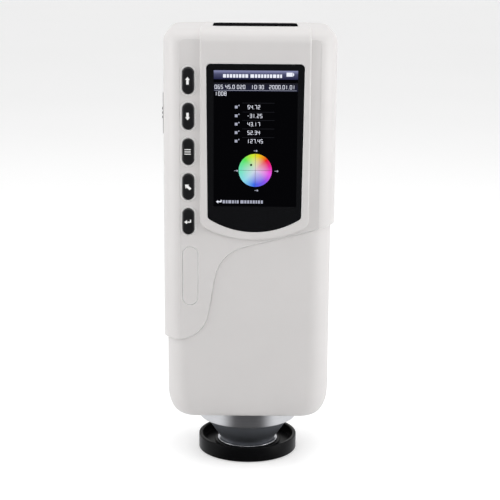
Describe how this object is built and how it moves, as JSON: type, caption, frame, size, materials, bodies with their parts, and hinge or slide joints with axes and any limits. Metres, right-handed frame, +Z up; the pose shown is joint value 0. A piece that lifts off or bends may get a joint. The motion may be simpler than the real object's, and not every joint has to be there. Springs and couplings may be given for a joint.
{
  "type": "portable colorimeter",
  "caption": "Handheld colour meter with a display and key column, standing nose down on a round cap that holds a white tile.",
  "frame": {"origin": "centre of the underside of the calibration cap, on the measuring axis", "axes": "+Z up along the measuring axis, -Y the side with the display, +X to the right of the display as seen from the front"},
  "size_m": [0.0795, 0.067, 0.205],
  "materials": {
    "shell": "fine satin texture",
    "window": "gloss",
    "screen": "gloss",
    "steel": "satin",
    "keys": "satin",
    "switch": "satin",
    "board": "satin",
    "flex": "satin",
    "rubber": "matte",
    "holder": "matte",
    "cell": "satin",
    "collar": "brushed satin",
    "gunmetal": "satin anodised",
    "tip": "polished",
    "led": "gloss",
    "lens": "polished",
    "cap": "satin",
    "tile": "satin"
  },
  "bodies": {
    "calibration_cap": {"cap_tray": "cap", "white_tile": "tile", "tile_pad": "rubber", "cap_foot_pad": "rubber"},
    "instrument": {"aperture_ring": "tip", "badge_plate": "shell", "battery_cells": "cell", "battery_contacts": "steel", "battery_holder": "holder", "board_chips": "switch", "board_screws": "steel", "display_flex": "flex", "display_window": "window", "front_housing": "shell", "head_lens": "lens", "head_screws": "steel", "housing_screws": "steel", "illumination_leds": "led", "key_switches": "switch", "lcd_frame": "steel", "lcd_panel": "screen", "led_board": "board", "light_sensor": "switch", "lower_housing": "shell", "main_board": "board", "measure_switch": "switch", "nose_cone": "gunmetal", "optical_head": "holder", "port_board": "board", "power_jack": "switch", "power_switch": "shell", "rear_housing": "shell", "sensor_board": "board", "sensor_flex": "flex", "serial_socket": "switch", "silver_collar": "collar", "trigger_board": "board", "usb_socket": "steel"},
    "key_up_cap": {"key_up": "keys"},
    "key_down_cap": {"key_down": "keys"},
    "key_menu_cap": {"key_menu": "keys"},
    "key_back_cap": {"key_back": "keys"},
    "key_enter_cap": {"key_enter": "keys"},
    "measuring_key": {"measure_key": "keys"},
    "power_knob": {"power_slider": "keys"},
    "large_cover": {"port_cover_large": "rubber"},
    "small_cover": {"port_cover_small": "rubber"},
    "battery_lid": {"battery_door": "shell"}
  },
  "joints": [
    {"name": "lift_off_cap", "type": "slide", "parent": "calibration_cap", "child": "instrument", "axis": [0, 0, 1], "range_m": [0, 0.03]},
    {"name": "key_up_press", "type": "slide", "parent": "instrument", "child": "key_up_cap", "axis": [0, 1, 0], "range_m": [0, 0.0008], "stiffness_N_per_m": 300, "springref_m": -0.0008},
    {"name": "key_down_press", "type": "slide", "parent": "instrument", "child": "key_down_cap", "axis": [0, 1, 0], "range_m": [0, 0.0008], "stiffness_N_per_m": 300, "springref_m": -0.0008},
    {"name": "key_menu_press", "type": "slide", "parent": "instrument", "child": "key_menu_cap", "axis": [0, 1, 0], "range_m": [0, 0.0008], "stiffness_N_per_m": 300, "springref_m": -0.0008},
    {"name": "key_back_press", "type": "slide", "parent": "instrument", "child": "key_back_cap", "axis": [0, 1, 0], "range_m": [0, 0.0008], "stiffness_N_per_m": 300, "springref_m": -0.0008},
    {"name": "key_enter_press", "type": "slide", "parent": "instrument", "child": "key_enter_cap", "axis": [0, 1, 0], "range_m": [0, 0.0008], "stiffness_N_per_m": 300, "springref_m": -0.0008},
    {"name": "measure_press", "type": "slide", "parent": "instrument", "child": "measuring_key", "axis": [0, -1, 0], "range_m": [0, 0.0008], "stiffness_N_per_m": 400, "springref_m": -0.0008},
    {"name": "power_slide", "type": "slide", "parent": "instrument", "child": "power_knob", "axis": [0, 0, -1], "range_m": [0, 0.003]},
    {"name": "large_cover_hinge", "type": "hinge", "parent": "instrument", "child": "large_cover", "pos_m": [0.00225, 0.013, 0.205], "axis": [-1, 0, 0], "range_deg": [0, 110]},
    {"name": "small_cover_hinge", "type": "hinge", "parent": "instrument", "child": "small_cover", "pos_m": [0.00225, 0.013, 0.205], "axis": [-1, 0, 0], "range_deg": [0, 110]},
    {"name": "battery_door_hinge", "type": "hinge", "parent": "instrument", "child": "battery_lid", "pos_m": [0, 0.0319, 0.12385], "axis": [-1, 0, 0], "range_deg": [0, 85]}
  ]
}
